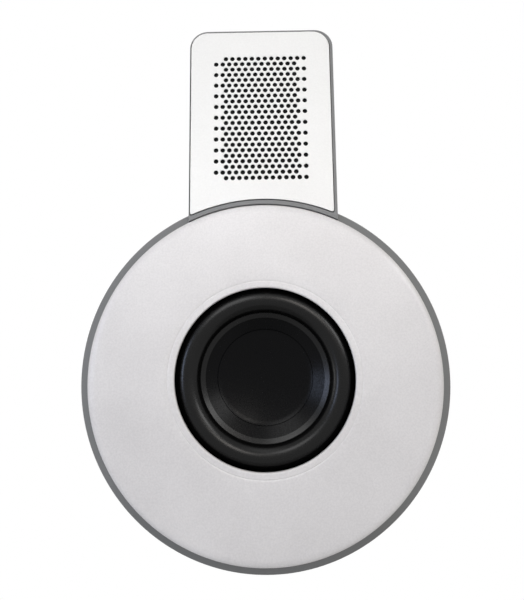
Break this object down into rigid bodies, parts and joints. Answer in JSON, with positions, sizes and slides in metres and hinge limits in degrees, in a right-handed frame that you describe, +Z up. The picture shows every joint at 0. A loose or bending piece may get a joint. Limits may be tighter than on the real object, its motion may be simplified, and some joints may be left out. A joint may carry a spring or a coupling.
{
  "type": "shower speaker",
  "caption": "Splash-proof two-way wall speaker: round woofer body with a pale face disc, and a tab on top with a perforated plate over the tweeter.",
  "frame": {"origin": "middle of the flat back cover on the woofer's axis, in the wall plane", "axes": "+Y into the wall, so the front faces -Y; +Z up towards the tab; +X to the right seen from the front"},
  "size_m": [0.1874, 0.052, 0.2797],
  "materials": {
    "grey_housing_plastic": "fine moulded grain",
    "pale_face_lacquer": "satin lacquer",
    "white_cover_lacquer": "satin lacquer on a perforated aluminium plate",
    "black_rubber": "smooth moulded rubber",
    "black_cone_polypropylene": "smooth polypropylene",
    "black_plastic": "moulded, matt",
    "black_acoustic_cloth": "water-repellent mesh cloth",
    "black_foam": "closed-cell foam",
    "grey_sealing_rubber": "matt silicone",
    "zinc_plated_steel": "zinc plated",
    "stainless_steel": "bright stainless",
    "ferrite": "ground ferrite",
    "enamelled_copper": "enamelled copper wire",
    "coil_former_foil": "thin former foil",
    "spider_cloth": "resin-dipped cloth",
    "coated_silk": "coated silk",
    "green_circuit_board": "solder mask on glass fibre board",
    "yellow_film_capacitor": "film sleeve",
    "white_ceramic": "cement-filled ceramic",
    "green_terminal_plastic": "moulded polyamide",
    "red_lead_sheath": "soft sheath"
  },
  "bodies": {
    "case": {"housing": "grey_housing_plastic", "back_cover": "grey_housing_plastic", "front_disc": "pale_face_lacquer", "tab_cover": "white_cover_lacquer", "woofer_surround": "black_rubber", "disc_grommet_1": "black_rubber", "disc_grommet_2": "black_rubber", "disc_grommet_3": "black_rubber", "disc_grommet_4": "black_rubber", "gland_seal": "black_rubber", "woofer_basket": "black_plastic", "woofer_terminal": "black_plastic", "tweeter_carrier": "black_plastic", "gland_body": "black_plastic", "gland_nut": "black_plastic", "gland_locknut": "black_plastic", "vent_plug": "black_plastic", "acoustic_cloth": "black_acoustic_cloth", "cover_tape": "black_foam", "woofer_gasket": "black_foam", "back_seal": "grey_sealing_rubber", "woofer_top_plate": "zinc_plated_steel", "woofer_yoke": "zinc_plated_steel", "tweeter_top_plate": "zinc_plated_steel", "tweeter_yoke": "zinc_plated_steel", "back_screw_1": "stainless_steel", "back_screw_2": "stainless_steel", "back_screw_3": "stainless_steel", "back_screw_4": "stainless_steel", "back_screw_5": "stainless_steel", "back_screw_6": "stainless_steel", "back_screw_7": "stainless_steel", "woofer_screw_1": "stainless_steel", "woofer_screw_2": "stainless_steel", "woofer_screw_3": "stainless_steel", "woofer_screw_4": "stainless_steel", "tweeter_screw_1": "stainless_steel", "tweeter_screw_2": "stainless_steel", "tweeter_screw_3": "stainless_steel", "tweeter_screw_4": "stainless_steel", "board_screw_1": "stainless_steel", "board_screw_2": "stainless_steel", "woofer_magnet": "ferrite", "tweeter_magnet": "ferrite", "crossover_inductor": "enamelled_copper", "woofer_spider": "spider_cloth", "tweeter_suspension": "coated_silk", "crossover_board": "green_circuit_board", "crossover_capacitor": "yellow_film_capacitor", "crossover_resistor": "white_ceramic", "terminal_block": "green_terminal_plastic", "woofer_lead": "red_lead_sheath", "tweeter_lead": "red_lead_sheath"},
    "woofer_moving": {"woofer_cone": "black_cone_polypropylene", "woofer_dust_cap": "black_cone_polypropylene", "woofer_coil_former": "coil_former_foil", "woofer_coil_winding": "enamelled_copper"},
    "tweeter_moving": {"tweeter_dome": "coated_silk", "tweeter_coil": "enamelled_copper"}
  },
  "joints": [
    {"name": "woofer_travel", "type": "slide", "parent": "case", "child": "woofer_moving", "axis": [0, -1, 0], "range_m": [-0.003, 0.003], "stiffness_N_per_m": 800, "deforming": ["woofer_surround", "woofer_spider"]},
    {"name": "tweeter_travel", "type": "slide", "parent": "case", "child": "tweeter_moving", "axis": [0, -1, 0], "range_m": [-0.00025, 0.00025], "stiffness_N_per_m": 120}
  ]
}
